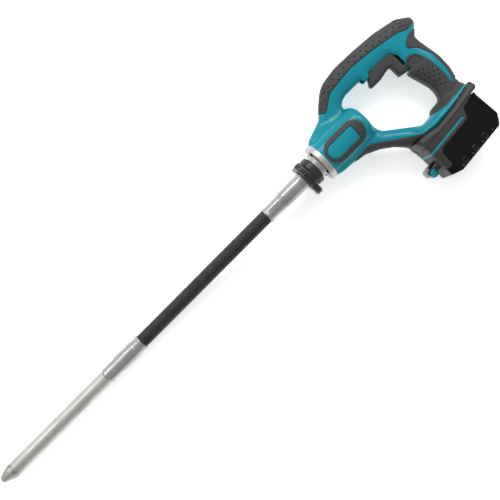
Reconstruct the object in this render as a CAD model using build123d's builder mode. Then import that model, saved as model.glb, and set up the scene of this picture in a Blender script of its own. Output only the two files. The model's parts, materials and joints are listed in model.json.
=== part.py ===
"""Cordless concrete vibrator: power unit with a loop handle, slide-on battery, flexible hose, head.

Millimetres. The tool lies on its right side on level ground. X runs along the drive axis, from the
nose of the head towards the battery. Y points to the top of the power unit, and Z points up. The
origin is on the ground, under the middle of the whole tool.

Outlines of the power unit are seen from its left. They are in tool coordinates: x from the rear
face of the drive flange, y from the drive axis. Each corner is (x, y, radius of its rounding).
"""

import math
import os

from build123d import *

os.makedirs("parts", exist_ok=True)

# ---------------------------------------------------------------- driving dimensions
TOOL_X = 246.7  # tool coordinate 0 along X
TOOL_Y = 39.0  # drive axis along Y
MID_Z = 37.5  # middle plane of the power unit above the ground

WALL = 3.5  # housing wall
GRIP_HALF = 17.0  # half width of handle and grips
FLARE_HALF = 30.0  # half width of the band above the battery
PAD = 2.0  # thickness of the soft grip panels
BARREL_R = 34.5
BARREL_LENGTH = 95.0
BADGE_RISE = 2.0

FLANGE_T = 10.0
SPIGOT_R = 21.0
SPIGOT_END = -19.0
BOLT_CIRCLE = 27.0
SHAFT_FIT = 0.03  # radial play of a shaft in its bearing
LOOSE = 0.08  # radial play of the lock ring on its seat

RING_FROM = -46.0
RING_TO = -20.0
LUG_R = 35.0
LUG_COUNT = 3

FERRULE_R = 14.5
FERRULE_END = -132.0
HOSE_R = 12.0
HOSE_BORE = 8.8
LINER_R = 7.6
LINER_BORE = 6.2
SHAFT_R = 4.5
HEAD_Z = 14.6  # height of the head's axis above the ground
HEAD_DROP = HEAD_Z - MID_Z
HEAD_END = -429.0
TUBE_R = 12.7
TUBE_BORE = 9.5
TUBE_FROM = -514.0
TUBE_TO = -732.0
NOSE_TIP = -761.4
NOSE_FLAT_R = 5.5
NOSE_TAPER = 20.0
NOSE_R = 12.6
SOCKET_DEPTH = 14.0  # of the head tube in the lower ferrule
SOCKET_R = 12.2

MOTOR_R = 27.0
JOURNAL_R = 5.0
REAR_JOURNAL_R = 4.0
CORE_R = 20.4

BATTERY_TILT = 5.8  # degrees, rear end higher
BATTERY_HALF = 37.5
BATTERY_PLAY = 0.4
SHELL = 2.5
CELL_R = 9.1
CELL_LENGTH = 65.0
CELL_PITCH = 20.0
RAIL_LENGTH = 100.0

# Points of the hose's middle line: tool x, and height from the middle plane.
HOSE_ROUTE = [
    (-132.0, 0.0),
    (-191.4, 0.0),
    (-250.8, -6.6),
    (-310.2, -16.3),
    (-369.6, HEAD_DROP),
    (-429.0, HEAD_DROP),
]

OUTER = [
    (0, 34.5, 1),
    (5.6, 39.2, 4),
    (40.7, 51.2, 16),
    (58.9, 68.6, 30),
    (82.6, 88, 45),
    (118.1, 93.2, 60),
    (159.9, 92, 60),
    (204.7, 88.4, 60),
    (246.1, 80, 18),
    (266.3, 65.8, 7),
    (266.7, 54.1, 5),
    (249.3, 37.1, 7),
    (249.6, 26, 14),
    (256.4, -14, 40),
    (255.1, -40, 40),
    (248.4, -66, 5),
    (251.5, -75.5, 1),
    (251.5, -80, 1),
    (241, -81, 8),
    (200, -89, 30),
    (165, -92.3, 30),
    (143, -88.5, 15),
    (117.5, -88.6, 1),
    (113.5, -82, 6),
    (100, -67.5, 20),
    (81, -53.8, 25),
    (57.5, -42.8, 14),
    (30.2, -38.7, 10),
    (12.2, -37.7, 6),
    (0, -34.5, 1),
]
LOOP = [
    (82.9, 35.4, 3.5),
    (84.8, 41.7, 5),
    (93.9, 47.3, 8),
    (103.8, 49.4, 8),
    (134, 49.3, 4),
    (137, 40, 1.5),
    (148, 40, 2),
    (155, 47, 3),
    (198, 46.5, 6),
    (205.5, 34, 8),
    (205.8, 5, 1),
    (200.2, 3, 1),
    (203.1, -8, 20),
    (211.6, -38, 20),
    (212, -50, 14),
    (208.5, -66.7, 10),
    (184.9, -69.2, 3),
    (179.8, -74.3, 2),
    (155.5, -75.8, 14),
    (98.1, -32, 22),
    (98.1, 20.4, 10),
]
FLARE = [
    (150, -73, 5),
    (178, -75.5, 3),
    (215, -78.5, 8),
    (251.5, -75.5, 1),
    (251.5, -80, 1),
    (241, -81, 8),
    (200, -89, 30),
    (165, -92.3, 30),
    (143, -88.5, 10),
]
FOOT = [
    (120, -88.2, 0.5),
    (124.5, -104.83, 2),
    (250, -92.1, 3),
    (253.5, -88, 3),
    (252, -77.5, 1),
    (150, -80, 1),
]
# Regions of the soft panels; each is trimmed by the housing's own outline.
PADS = {
    "top_grip": [
        (44, 62, 1),
        (55, 50.8, 3),
        (62, 54, 6),
        (82, 68.5, 20),
        (134, 74, 60),
        (178, 69.8, 60),
        (230, 60.8, 15),
        (247, 53.2, 5),
        (275, 56.5, 1),
        (275, 100, 1),
        (44, 100, 1),
    ],
    "rear_spine": [
        (274, 49, 1),
        (238, 45.5, 8),
        (228, 38, 6),
        (224, 31.5, 2),
        (238, 20, 10),
        (248.8, -2, 30),
        (248.8, -30, 30),
        (246, -48, 10),
        (241, -59, 1),
        (274, -59, 1),
    ],
    "palm_grip": [
        (208.5, 7, 2),
        (208.8, 17, 4),
        (214, 21.5, 4),
        (220, 21, 5),
        (229, 15, 8),
        (236.8, -6, 20),
        (239.5, -30, 30),
        (238, -60, 2),
        (270, -62, 1),
        (270, -74, 1),
        (230, -77, 10),
        (205, -79, 12),
        (186, -77, 6),
        (177, -73.5, 1),
        (177, -64, 1),
        (205, -62, 1),
        (200, 0, 4),
    ],
    "lower_grip": [
        (38, -38, 1),
        (70, -36, 14),
        (150, -91.5, 4),
        (140, -100, 1),
        (30, -60, 1),
    ],
}
# The long side of the badge lies along the barrel.
BADGE_CENTRE = (42, -4)
BADGE_LENGTH = 80.0
BADGE_HEIGHT = 42.0
PLATE = [(7, -17, 12), (65, -17, 2), (65, 8, 2), (7, 8, 12)]

TRIGGER = [
    (139.5, 31, 1.5),
    (142, 26.5, 2),
    (160, 26, 20),
    (184, 30.5, 3),
    (186.8, 28, 2),
    (187, 8, 2),
    (203, 4.8, 2),
    (205.2, 8, 1),
    (205.2, 39.5, 1),
    (209, 41, 1),
    (208, 52, 3),
    (158, 53, 3),
    (148, 44.5, 3),
]
TRIGGER_HALF = 9.5
TRIGGER_PIN = (213, 12)
PIN_R = 2.0
TRIGGER_SLOT = ((134, 26), (210, 60))
TRIGGER_WELL = ((200, 3.5), (222, 58))

HOUSING_SCREWS = [
    (66, 62),
    (125, 67),
    (195, 67),
    (253, 68),
    (240, -38),
    (122, -70),
    (88, -48),
]
SCREW_R = 1.8
SCREW_HEAD_R = 3.6
BOSS_R = 4.6

# Outlines of the battery, in its own tilted plane: x from the front end of the crease above it.
PACK = [
    (-5, -0.4, 3),
    (115.5, -0.4, 3),
    (114.5, -53, 7),
    (107, -63, 6),
    (100, -69.5, 4),
    (7, -69.5, 6),
    (-10.5, -61.5, 4),
]
COVER_REGION = [
    (-20, 5, 1),
    (108, 5, 1),
    (105, -2, 1),
    (84, -5, 3),
    (75, -21, 3),
    (12, -20.5, 4),
    (7, -25, 4),
    (2, -50, 2),
    (-5, -49.5, 3),
    (-10.5, -41.5, 1),
    (-20, -41, 1),
]
STRIPE_V = -14.0
STRIPE_W = 3.6
STRIPE_END = 72.0
LATCH_V = -39.0
BUTTON = [
    (-27, -31.3, 6),
    (-12.4, -31.3, 2),
    (-12.4, -46.5, 5),
    (-26, -47.2, 6),
]
GUARD = [
    (-4, -26, 1),
    (-24, -24.8, 4),
    (-30.5, -27, 5),
    (-31, -38.5, 1.5),
    (-28.2, -38.5, 1),
    (-28.2, -30.2, 3.5),
    (-4, -29.9, 1),
]


# ---------------------------------------------------------------- helpers
def side(height=0.0):
    """Plane of the tool seen from its left, at a height from the middle plane."""
    return Plane(origin=(TOOL_X, TOOL_Y, MID_Z + height))


def across(x, height=MID_Z):
    """Plane across the drive axis at tool x: its x is the tool's Y and its y is Z."""
    return Plane(origin=(TOOL_X + x, TOOL_Y, height), x_dir=(0, 1, 0), z_dir=(1, 0, 0))


def pack_plane(height=0.0):
    """Tilted plane of the battery, at a height from the middle plane."""
    tilt = math.radians(BATTERY_TILT)
    return Plane(
        origin=(TOOL_X + 129.7, TOOL_Y - 104.3, MID_Z + height),
        x_dir=(math.cos(tilt), math.sin(tilt), 0),
        z_dir=(0, 0, 1),
    )


def rounded(corners):
    """Face inside a closed outline whose corners are rounded."""
    with BuildSketch() as shape:
        with BuildLine():
            FilletPolyline(
                [(x, y) for x, y, _ in corners], radius=[r for _, _, r in corners], close=True
            )
        make_face()
    return shape.sketch


def grown(corners, amount):
    """The same outline, moved outwards by an amount, or inwards where it is negative."""
    with BuildSketch() as shape:
        add(rounded(corners))
        offset(amount=amount, kind=Kind.INTERSECTION)
    return shape.sketch


def span(low, high):
    """Rectangle between two opposite corners."""
    with BuildSketch() as shape:
        with Locations(((low[0] + high[0]) / 2, (low[1] + high[1]) / 2)):
            Rectangle(high[0] - low[0], high[1] - low[1])
    return shape.sketch


def finish(piece, name):
    """Label a finished piece and write it."""
    piece.part.label = name
    export_step(piece.part, f"parts/{name}.step")


def turned(name, steps, height=MID_Z):
    """Piece on an axis: steps are (from x, to x, outer radius, bore radius)."""
    with BuildPart() as piece:
        for start, end, outer, bore in steps:
            with BuildSketch(across(start, height)):
                Circle(outer)
                if bore:
                    Circle(bore, mode=Mode.SUBTRACT)
            extrude(amount=end - start)
    finish(piece, name)


def pad_region(name):
    """Outline of a soft panel on the side of the housing."""
    with BuildSketch() as region:
        add(rounded(OUTER))
        add(rounded(LOOP), mode=Mode.SUBTRACT)
        add(rounded(PADS[name]), mode=Mode.INTERSECT)
    return region.sketch


# ---------------------------------------------------------------- housing
def housing(name, sign):
    """Half of the hollow housing: handle loop, motor barrel and the band above the battery."""
    with BuildPart() as half:
        with BuildSketch(side()):
            add(rounded(OUTER))
            add(rounded(LOOP), mode=Mode.SUBTRACT)
        extrude(amount=sign * GRIP_HALF)
        with BuildSketch(side()):
            add(rounded(FLARE))
        extrude(amount=sign * FLARE_HALF)
        with BuildSketch(across(0)):
            Circle(BARREL_R)
            with Locations((0, -sign * BARREL_R)):
                Rectangle(2 * BARREL_R, 2 * BARREL_R, mode=Mode.SUBTRACT)
        extrude(amount=BARREL_LENGTH)
        # the room inside
        with BuildSketch(side()):
            add(grown(OUTER, -WALL))
            add(grown(LOOP, WALL), mode=Mode.SUBTRACT)
        extrude(amount=sign * (GRIP_HALF - WALL), mode=Mode.SUBTRACT)
        with BuildSketch(side()):
            add(grown(FLARE, -WALL))
        extrude(amount=sign * (FLARE_HALF - WALL), mode=Mode.SUBTRACT)
        with BuildSketch(across(WALL)):
            Circle(BARREL_R - WALL)
        extrude(amount=BARREL_LENGTH - 2 * WALL, mode=Mode.SUBTRACT)
        # bosses for the screws
        for x, y in HOUSING_SCREWS:
            with BuildSketch(side()):
                with Locations((x, y)):
                    Circle(BOSS_R)
            extrude(amount=sign * (GRIP_HALF - PAD))
            with BuildSketch(side()):
                with Locations((x, y)):
                    Circle(SCREW_R)
            extrude(amount=sign * GRIP_HALF, mode=Mode.SUBTRACT)
        # openings: drive, trigger, terminals, flange bolts
        with BuildSketch(across(0)):
            Circle(16)
            with PolarLocations(BOLT_CIRCLE, 4, start_angle=45):
                Circle(2)
        extrude(amount=WALL, mode=Mode.SUBTRACT)
        with BuildSketch(side()):
            add(span(*TRIGGER_SLOT))
            add(span(*TRIGGER_WELL))
        extrude(amount=TRIGGER_HALF + 1, both=True, mode=Mode.SUBTRACT)
        with BuildSketch(pack_plane()):
            add(span((46, 0), (76, 20)))
        extrude(amount=16, both=True, mode=Mode.SUBTRACT)
        # pockets for the soft panels
        for pad in PADS:
            with BuildSketch(side(sign * (GRIP_HALF - PAD))):
                add(pad_region(pad))
            extrude(amount=sign * 2 * PAD, mode=Mode.SUBTRACT)
    finish(half, name)


def soft_panel(name, pad, sign):
    """Soft panel moulded into the pocket on one side of the housing."""
    with BuildPart() as panel:
        with BuildSketch(side(sign * (GRIP_HALF - PAD))):
            add(pad_region(pad))
        extrude(amount=sign * PAD)
        for x, y in HOUSING_SCREWS:
            with BuildSketch(side(sign * (GRIP_HALF - PAD))):
                with Locations((x, y)):
                    Circle(SCREW_R)
            extrude(amount=sign * PAD, mode=Mode.SUBTRACT)
    finish(panel, name)


def badge(name, sign, plate):
    """Long rounded ring on the side of the barrel, or the blank plate inside it."""
    with BuildPart() as piece:
        with BuildSketch(side()):
            with Locations(BADGE_CENTRE):
                SlotOverall(BADGE_LENGTH, BADGE_HEIGHT)
            add(rounded(PLATE), mode=Mode.INTERSECT if plate else Mode.SUBTRACT)
        extrude(amount=sign * (BARREL_R + 2 * BADGE_RISE))
        with BuildSketch(across(0)):
            Circle(BARREL_R + (BADGE_RISE / 2 if plate else BADGE_RISE))
            Circle(BARREL_R, mode=Mode.SUBTRACT)
        extrude(amount=BARREL_LENGTH, mode=Mode.INTERSECT)
    finish(piece, name)


for side_name, side_sign in (("left", 1), ("right", -1)):
    housing(f"housing_{side_name}", side_sign)
    for pad_name in PADS:
        soft_panel(f"{pad_name}_{side_name}", pad_name, side_sign)
    badge(f"badge_ring_{side_name}", side_sign, plate=False)
    badge(f"badge_plate_{side_name}", side_sign, plate=True)

with BuildPart() as housing_screws:
    with BuildSketch(side(-GRIP_HALF)):
        with Locations(*HOUSING_SCREWS):
            Circle(SCREW_R)
    extrude(amount=2 * GRIP_HALF - 6)
    with BuildSketch(side(-GRIP_HALF - 2)):
        with Locations(*HOUSING_SCREWS):
            Circle(SCREW_HEAD_R)
    extrude(amount=2)
finish(housing_screws, "housing_screws")

with BuildPart() as battery_foot:
    with BuildSketch(side()):
        add(rounded(FOOT))
        add(rounded(OUTER), mode=Mode.SUBTRACT)
        add(rounded(FLARE), mode=Mode.SUBTRACT)
    extrude(amount=BATTERY_HALF, both=True)
    # channel for the battery's rail, open at the front
    with BuildSketch(pack_plane()):
        add(span((-30, -3), (RAIL_LENGTH + 1, 2.3)))
    extrude(amount=15.4, both=True, mode=Mode.SUBTRACT)
    with BuildSketch(pack_plane()):
        add(span((-30, 2.2), (RAIL_LENGTH + 1, 5.9)))
    extrude(amount=20.4, both=True, mode=Mode.SUBTRACT)
    with BuildSketch(pack_plane()):
        add(span((50, 5), (72, 14.5)))
    extrude(amount=14, both=True, mode=Mode.SUBTRACT)
finish(battery_foot, "battery_foot")

# ---------------------------------------------------------------- drive flange and lock ring
with BuildPart() as drive_flange:
    with BuildSketch(across(-FLANGE_T)):
        Circle(BARREL_R)
    extrude(amount=FLANGE_T)
    with BuildSketch(across(SPIGOT_END)):
        Circle(SPIGOT_R)
    extrude(amount=-SPIGOT_END - FLANGE_T)
    with BuildSketch(across(SPIGOT_END)):
        Circle(FERRULE_R)
    extrude(amount=-SPIGOT_END - FLANGE_T + 1, mode=Mode.SUBTRACT)
    with BuildSketch(across(-9)):
        Circle(13)
    extrude(amount=9, mode=Mode.SUBTRACT)
    with BuildSketch(across(-FLANGE_T)):
        with PolarLocations(BOLT_CIRCLE, 4, start_angle=45):
            Circle(2)
    extrude(amount=FLANGE_T, mode=Mode.SUBTRACT)
    chamfer(drive_flange.edges().filter_by(GeomType.CIRCLE).sort_by(Axis.X)[0], 1)
finish(drive_flange, "drive_flange")

with BuildPart() as flange_bolts:
    with BuildSketch(across(-FLANGE_T)):
        with PolarLocations(BOLT_CIRCLE, 4, start_angle=45):
            Circle(2)
    extrude(amount=FLANGE_T + WALL)
    with BuildSketch(across(-FLANGE_T - 2.5)):
        with PolarLocations(BOLT_CIRCLE, 4, start_angle=45):
            RegularPolygon(3.4, 6)
    extrude(amount=2.5)
finish(flange_bolts, "flange_bolts")

SEAT_R = 16.0
with BuildPart() as lock_ring:
    with BuildSketch(across(RING_FROM)):
        Circle(24.5)
    extrude(amount=RING_TO - RING_FROM)
    with BuildSketch(across(RING_FROM)):
        Circle(LUG_R)
        with PolarLocations(0, LUG_COUNT, start_angle=0):
            with BuildLine():
                Polyline((15, -12), (60, -26), (60, 26), (15, 12), close=True)
            make_face(mode=Mode.SUBTRACT)
    extrude(amount=11)
    with BuildSketch(across(RING_FROM)):
        Circle(SEAT_R + LOOSE)
    extrude(amount=RING_TO - RING_FROM, mode=Mode.SUBTRACT)
finish(lock_ring, "lock_ring")

with BuildPart() as upper_ferrule:
    with BuildSketch(across(FERRULE_END)):
        Circle(FERRULE_R)
    extrude(amount=-9 - FERRULE_END)
    with BuildSketch(across(-126)):
        Circle(FERRULE_R)
        Circle(FERRULE_R - 1.5, mode=Mode.SUBTRACT)
    extrude(amount=26, mode=Mode.SUBTRACT)
    with BuildSketch(across(RING_FROM - 1)):
        Circle(SEAT_R)
    extrude(amount=SPIGOT_END - 0.3 - RING_FROM + 1)
    with BuildSketch(across(RING_FROM - 3)):
        Circle(18.5)
    extrude(amount=2)
    with BuildSketch(across(FERRULE_END)):
        Circle(HOSE_BORE)
    extrude(amount=-9 - FERRULE_END, mode=Mode.SUBTRACT)
finish(upper_ferrule, "upper_ferrule")


# ---------------------------------------------------------------- hose
def corner_radii(points):
    """As large an arc at each corner as its two runs allow."""
    radii = []
    for before, corner, after in zip(points, points[1:], points[2:]):
        inward = Vector(*corner) - Vector(*before)
        outward = Vector(*after) - Vector(*corner)
        turn = math.radians(inward.get_angle(outward))
        shorter = min(inward.length, outward.length)
        radii.append(0.45 * shorter / math.tan(turn / 2))
    return radii


def along_hose(name, outer, bore):
    """Round piece that follows the hose from ferrule to ferrule."""
    points = [(TOOL_X + x, TOOL_Y, MID_Z + z) for x, z in HOSE_ROUTE]
    radii = corner_radii(points)
    print(name, "arc radii", [round(r) for r in radii])
    with BuildPart() as piece:
        with BuildLine() as path:
            FilletPolyline(points, radius=radii)
        start = Plane(origin=points[0], x_dir=(0, 1, 0), z_dir=(-1, 0, 0))
        with BuildSketch(start):
            Circle(outer)
            if bore:
                Circle(bore, mode=Mode.SUBTRACT)
        middle_line = path.wire()
        sweep(path=middle_line)
    section = math.pi * (outer**2 - bore**2)
    print(name, "length", round(middle_line.length, 1), "volume", round(piece.part.volume))
    print(name, "section times length", round(section * middle_line.length))
    finish(piece, name)


along_hose("hose", HOSE_R, HOSE_BORE)
along_hose("hose_liner", LINER_R, LINER_BORE)
along_hose("flexible_shaft", SHAFT_R, 0)

# ---------------------------------------------------------------- vibrating head
with BuildPart() as lower_ferrule:
    with BuildSketch(across(TUBE_FROM, HEAD_Z)):
        Circle(HEAD_Z)
    extrude(amount=HEAD_END - TUBE_FROM)
    with BuildSketch(across(TUBE_FROM, HEAD_Z)):
        Circle(SOCKET_R)
    extrude(amount=SOCKET_DEPTH, mode=Mode.SUBTRACT)
    with BuildSketch(across(TUBE_FROM, HEAD_Z)):
        Circle(HOSE_BORE)
    extrude(amount=HEAD_END - TUBE_FROM, mode=Mode.SUBTRACT)
    outer_rim = lower_ferrule.edges().filter_by(GeomType.CIRCLE).sort_by(SortBy.RADIUS)[-2:]
    chamfer(outer_rim.sort_by(Axis.X)[0], 1.5)
finish(lower_ferrule, "lower_ferrule")

turned(
    "head_tube",
    [
        (TUBE_TO, TUBE_FROM, TUBE_R, TUBE_BORE),
        (TUBE_FROM, TUBE_FROM + SOCKET_DEPTH, SOCKET_R, TUBE_BORE),
    ],
    HEAD_Z,
)

with BuildPart() as nose_cap:
    with BuildSketch(Plane(origin=(TOOL_X, TOOL_Y, HEAD_Z), z_dir=(0, 0, 1))):
        with BuildLine():
            Polyline(
                (NOSE_TIP, 0),
                (NOSE_TIP, NOSE_FLAT_R),
                (NOSE_TIP + NOSE_TAPER, NOSE_R),
                (TUBE_TO, NOSE_R),
                (TUBE_TO, TUBE_BORE),
                (TUBE_TO + 10, TUBE_BORE),
                (TUBE_TO + 10, 0),
                close=True,
            )
        make_face()
    revolve(axis=Axis((TOOL_X, TOOL_Y, HEAD_Z), (1, 0, 0)))
finish(nose_cap, "nose_cap")

with BuildPart() as head_bearings:
    for bearing_x in (-718, -552):
        with BuildSketch(across(bearing_x, HEAD_Z)):
            Circle(TUBE_BORE)
            Circle(REAR_JOURNAL_R + SHAFT_FIT, mode=Mode.SUBTRACT)
        extrude(amount=8)
finish(head_bearings, "head_bearings")

turned("eccentric_shaft", [(-719, -430, REAR_JOURNAL_R, 0)], HEAD_Z)
turned("oil_seal", [(-540, -534, TUBE_BORE, REAR_JOURNAL_R + 0.1)], HEAD_Z)

with BuildPart() as eccentric_weight:
    with BuildSketch(across(-700, HEAD_Z)):
        Circle(8.8)
        Circle(REAR_JOURNAL_R, mode=Mode.SUBTRACT)
        with Locations((0, 10)):
            Rectangle(40, 20, mode=Mode.SUBTRACT)
    extrude(amount=140)
finish(eccentric_weight, "eccentric_weight")

# ---------------------------------------------------------------- motor
turned("motor_can", [(12, 72, MOTOR_R, MOTOR_R - 1.8)])
turned("cooling_fan", [(3.9, 10, 25, JOURNAL_R)])
turned("commutator", [(68, 78, 10, REAR_JOURNAL_R)])
turned("front_bearing", [(-8, 0, 13, JOURNAL_R + SHAFT_FIT)])
turned("rear_bearing", [(81, 88, 11, REAR_JOURNAL_R + SHAFT_FIT)])
turned("rear_bell", [(79.5, 81, MOTOR_R, 6), (81, 89, MOTOR_R, 11)])
turned("rotor_shaft", [(-9, 12, JOURNAL_R, 0), (12, 89, REAR_JOURNAL_R, 0)])

with BuildPart() as motor_mounts:
    for mount_x in (16, 58):
        with BuildSketch(across(mount_x)):
            Circle(BARREL_R - WALL)
            Circle(MOTOR_R, mode=Mode.SUBTRACT)
        extrude(amount=8)
finish(motor_mounts, "motor_mounts")

with BuildPart() as field_magnets:
    with BuildSketch(across(16)):
        Circle(MOTOR_R - 1.8)
        Circle(CORE_R + 1, mode=Mode.SUBTRACT)
        with Locations((0, 0)):
            Rectangle(80, 16, mode=Mode.SUBTRACT)
    extrude(amount=48)
finish(field_magnets, "field_magnets")

with BuildPart() as armature_core:
    with BuildSketch(across(20)):
        Circle(CORE_R)
        Circle(REAR_JOURNAL_R, mode=Mode.SUBTRACT)
        with PolarLocations(15, 12):
            SlotOverall(9, 4, mode=Mode.SUBTRACT)
    extrude(amount=40)
finish(armature_core, "armature_core")

with BuildPart() as armature_windings:
    for end_x in (14, 60):
        with BuildSketch(across(end_x)):
            Circle(18)
            Circle(8, mode=Mode.SUBTRACT)
        extrude(amount=6)
finish(armature_windings, "armature_windings")

with BuildPart() as brush_plate:
    with BuildSketch(across(72)):
        Circle(MOTOR_R)
        Circle(10.8, mode=Mode.SUBTRACT)
        Rectangle(44, 8, mode=Mode.SUBTRACT)
    extrude(amount=6)
    with BuildSketch(across(78)):
        Circle(MOTOR_R)
        Circle(10.8, mode=Mode.SUBTRACT)
    extrude(amount=1.5)
finish(brush_plate, "brush_plate")

with BuildPart() as carbon_brushes:
    with BuildSketch(across(72.2)):
        with Locations((16, 0), (-16, 0)):
            Rectangle(11.9, 8)
    extrude(amount=5.8)
finish(carbon_brushes, "carbon_brushes")

with BuildPart() as drive_socket:
    with BuildSketch(across(-26)):
        Circle(7.8)
    extrude(amount=17)
    with BuildSketch(across(-26)):
        Rectangle(6, 6)
    extrude(amount=12, mode=Mode.SUBTRACT)
finish(drive_socket, "drive_socket")

with BuildPart() as shaft_tail:
    with BuildSketch(across(FERRULE_END)):
        Circle(SHAFT_R)
    extrude(amount=-28 - FERRULE_END)
    with BuildSketch(across(-28)):
        Rectangle(5.9, 5.9)
    extrude(amount=12)
finish(shaft_tail, "shaft_tail")

# ---------------------------------------------------------------- trigger and switch
with BuildPart() as trigger:
    with BuildSketch(side()):
        add(rounded(TRIGGER))
        add(span((201, 8), (213, 16)))
        with Locations(TRIGGER_PIN):
            Circle(4.8)
            Circle(PIN_R + 0.06, mode=Mode.SUBTRACT)
    extrude(amount=TRIGGER_HALF, both=True)
finish(trigger, "trigger")

with BuildPart() as trigger_pin:
    with BuildSketch(side(WALL - GRIP_HALF)):
        with Locations(TRIGGER_PIN):
            Circle(PIN_R)
    extrude(amount=2 * (GRIP_HALF - WALL))
finish(trigger_pin, "trigger_pin")

SWITCH_AT = (229.5, 37)
PLUNGER_R = 3.0
with BuildPart() as switch_body:
    with BuildSketch(side()):
        with Locations(SWITCH_AT):
            RectangleRounded(29, 21, 1.5)
    extrude(amount=9, both=True)
    with BuildSketch(Plane(origin=(TOOL_X + 214, TOOL_Y + 36, MID_Z), z_dir=(1, 0, 0))):
        Circle(PLUNGER_R + 0.06)
    extrude(amount=12, mode=Mode.SUBTRACT)
finish(switch_body, "switch_body")

with BuildPart() as switch_plunger:
    with BuildSketch(Plane(origin=(TOOL_X + 205.3, TOOL_Y + 36, MID_Z), z_dir=(1, 0, 0))):
        Circle(PLUNGER_R)
    extrude(amount=17)
finish(switch_plunger, "switch_plunger")

with BuildPart() as controller_board:
    with BuildSketch(side()):
        add(span((100, 81), (178, 82.6)))
    extrude(amount=12, both=True)
    with BuildSketch(side()):
        add(span((108, 76), (128, 81)))
        add(span((138, 73.5), (152, 81)))
        add(span((160, 77), (172, 81)))
    extrude(amount=8, both=True)
finish(controller_board, "controller_board")

with BuildPart() as terminal_block:
    with BuildSketch(pack_plane()):
        add(span((50, 8.4), (72, 14.5)))
    extrude(amount=14, both=True)
finish(terminal_block, "terminal_block")

BLADES = (-9, 0, 9)
with BuildPart() as terminal_blades:
    for blade_z in BLADES:
        with BuildSketch(pack_plane(blade_z)):
            add(span((54, 3.4), (68, 8.4)))
        extrude(amount=0.4, both=True)
finish(terminal_blades, "terminal_blades")

with BuildPart() as wiring:
    for wire_z in (-5, 5):
        with BuildLine() as wire_path:
            FilletPolyline(
                (TOOL_X + 196, TOOL_Y - 80.5, MID_Z + wire_z),
                (TOOL_X + 221, TOOL_Y - 77, MID_Z + wire_z),
                (TOOL_X + 224, TOOL_Y - 20, MID_Z + wire_z),
                (TOOL_X + 230, TOOL_Y + 26, MID_Z + wire_z),
                radius=[9, 30],
            )
        wire_line = wire_path.wire()
        with BuildSketch(Plane(origin=wire_line @ 0, z_dir=wire_line % 0)):
            Circle(1.4)
        sweep(path=wire_line)
finish(wiring, "wiring")

# ---------------------------------------------------------------- battery
with BuildPart() as battery_cover:
    with BuildSketch(pack_plane()):
        add(rounded(PACK))
        add(rounded(COVER_REGION), mode=Mode.INTERSECT)
    extrude(amount=BATTERY_HALF, both=True)
    with BuildSketch(pack_plane()):
        add(grown(PACK, -SHELL))
    extrude(amount=BATTERY_HALF - SHELL, both=True, mode=Mode.SUBTRACT)
    # seat of the stripe
    with BuildSketch(pack_plane(-BATTERY_HALF)):
        add(span((-20, STRIPE_V - STRIPE_W / 2), (STRIPE_END, STRIPE_V + STRIPE_W / 2)))
        add(grown(PACK, -1), mode=Mode.SUBTRACT)
    extrude(amount=2 * BATTERY_HALF, mode=Mode.SUBTRACT)
    for edge_z in (-BATTERY_HALF, BATTERY_HALF - 1):
        with BuildSketch(pack_plane(edge_z)):
            add(span((-20, STRIPE_V - STRIPE_W / 2), (STRIPE_END, STRIPE_V + STRIPE_W / 2)))
        extrude(amount=1, mode=Mode.SUBTRACT)
    with BuildSketch(pack_plane()):
        add(span((0, -4), (RAIL_LENGTH, 1)))
    extrude(amount=15, both=True, mode=Mode.SUBTRACT)
    latch_plane = Plane(
        origin=pack_plane().from_local_coords((-20, LATCH_V, 0)), z_dir=pack_plane().x_dir
    )
    with BuildSketch(latch_plane):
        Circle(6.6)
    extrude(amount=20, mode=Mode.SUBTRACT)
finish(battery_cover, "battery_cover")

with BuildPart() as battery_stripe:
    with BuildSketch(pack_plane()):
        add(rounded(PACK))
        add(
            span((-20, STRIPE_V - STRIPE_W / 2), (STRIPE_END, STRIPE_V + STRIPE_W / 2)),
            mode=Mode.INTERSECT,
        )
    extrude(amount=BATTERY_HALF, both=True)
    with BuildSketch(pack_plane()):
        add(grown(PACK, -1))
    extrude(amount=BATTERY_HALF - 1, both=True, mode=Mode.SUBTRACT)
finish(battery_stripe, "battery_stripe")

with BuildPart() as battery_case:
    with BuildSketch(pack_plane()):
        add(grown(PACK, -SHELL))
    extrude(amount=BATTERY_HALF - SHELL, both=True)
    with BuildSketch(pack_plane()):
        add(rounded(PACK))
        add(rounded(COVER_REGION), mode=Mode.SUBTRACT)
    extrude(amount=BATTERY_HALF, both=True)
    with BuildSketch(pack_plane()):
        add(span((0, -4), (RAIL_LENGTH, 2.8)))
    extrude(amount=15, both=True)
    with BuildSketch(pack_plane()):
        add(span((0, 2.6), (RAIL_LENGTH, 5.5)))
    extrude(amount=20, both=True)
    # slots for the terminal blades, open at the rear
    for blade_z in BLADES:
        with BuildSketch(pack_plane(blade_z)):
            add(span((46, 1.5), (RAIL_LENGTH + 1, 6)))
        extrude(amount=1.2, both=True, mode=Mode.SUBTRACT)
    # room for the cells, and the latch's bore
    with BuildSketch(pack_plane()):
        add(span((4, -63), (108, -6.5)))
    extrude(amount=33, both=True, mode=Mode.SUBTRACT)
    with BuildSketch(latch_plane):
        Circle(6.6)
    extrude(amount=19, mode=Mode.SUBTRACT)
    with BuildSketch(latch_plane):
        Circle(4)
    extrude(amount=26, mode=Mode.SUBTRACT)
finish(battery_case, "battery_case")

with BuildPart() as battery_cells:
    with BuildSketch(pack_plane(-CELL_LENGTH / 2)):
        for row in range(2):
            for column in range(5):
                with Locations((18 + CELL_PITCH * column, -24 - CELL_PITCH * row)):
                    Circle(CELL_R)
    extrude(amount=CELL_LENGTH)
finish(battery_cells, "battery_cells")

with BuildPart() as latch_button:
    with BuildSketch(pack_plane()):
        add(rounded(BUTTON))
    extrude(amount=10, both=True)
    with BuildSketch(latch_plane):
        Circle(3.6)
    extrude(amount=23)
finish(latch_button, "latch_button")

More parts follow.
